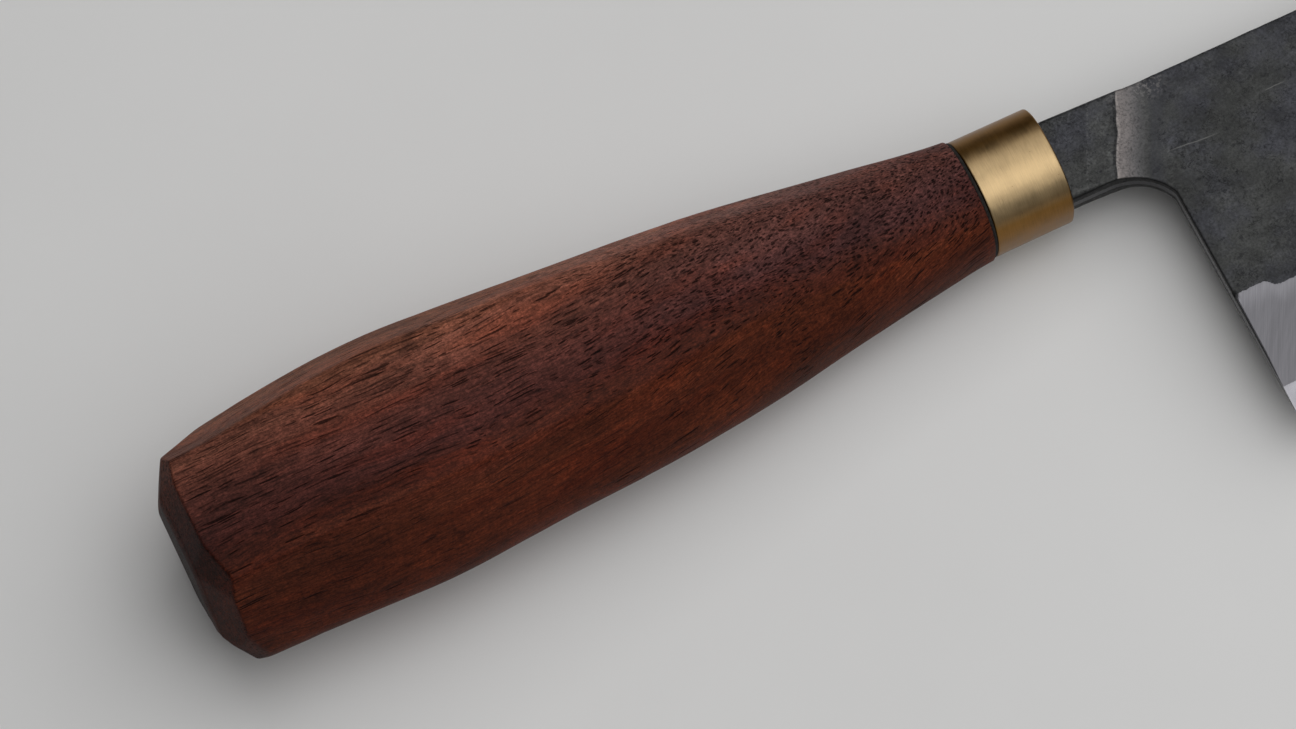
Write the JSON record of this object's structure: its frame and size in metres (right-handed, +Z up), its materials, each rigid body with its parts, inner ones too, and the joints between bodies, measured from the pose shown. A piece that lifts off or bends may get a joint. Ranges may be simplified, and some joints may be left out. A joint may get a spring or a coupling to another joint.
{
  "type": "forged kitchen knife",
  "caption": "Forged black-scale vegetable knife with a straight heel, brass ferrule and hand-faceted walnut handle, lying on its side.",
  "frame": {"origin": "centre of the footprint of the knife as it lies on its left side, on the surface it lies on", "axes": "+X from the butt to the tip (the handle's axis dips 3.2 degrees towards the tip and the knife is rolled by 0.5 degrees, as it lies), +Y from the cutting edge to the spine, +Z up out of the right face"},
  "size_m": [0.3094, 0.0664, 0.0325],
  "materials": {
    "core_steel": "ground and sharpened, fine slanted scratches",
    "forge_scale": "black forge scale, mottled and pitted, with a ground bevel above the bare core",
    "walnut": "hand-carved facets, oiled, open pores",
    "brass": "fine brushing around the ring",
    "black_spacer": "matt black fibre",
    "black_resin": "poured black resin"
  },
  "bodies": {
    "root": {"core_steel": "core_steel", "cladding_right": "forge_scale", "cladding_left": "forge_scale", "handle": "walnut", "ferrule": "brass", "spacer_ring": "black_spacer", "tang_bedding": "black_resin"}
  },
  "joints": []
}
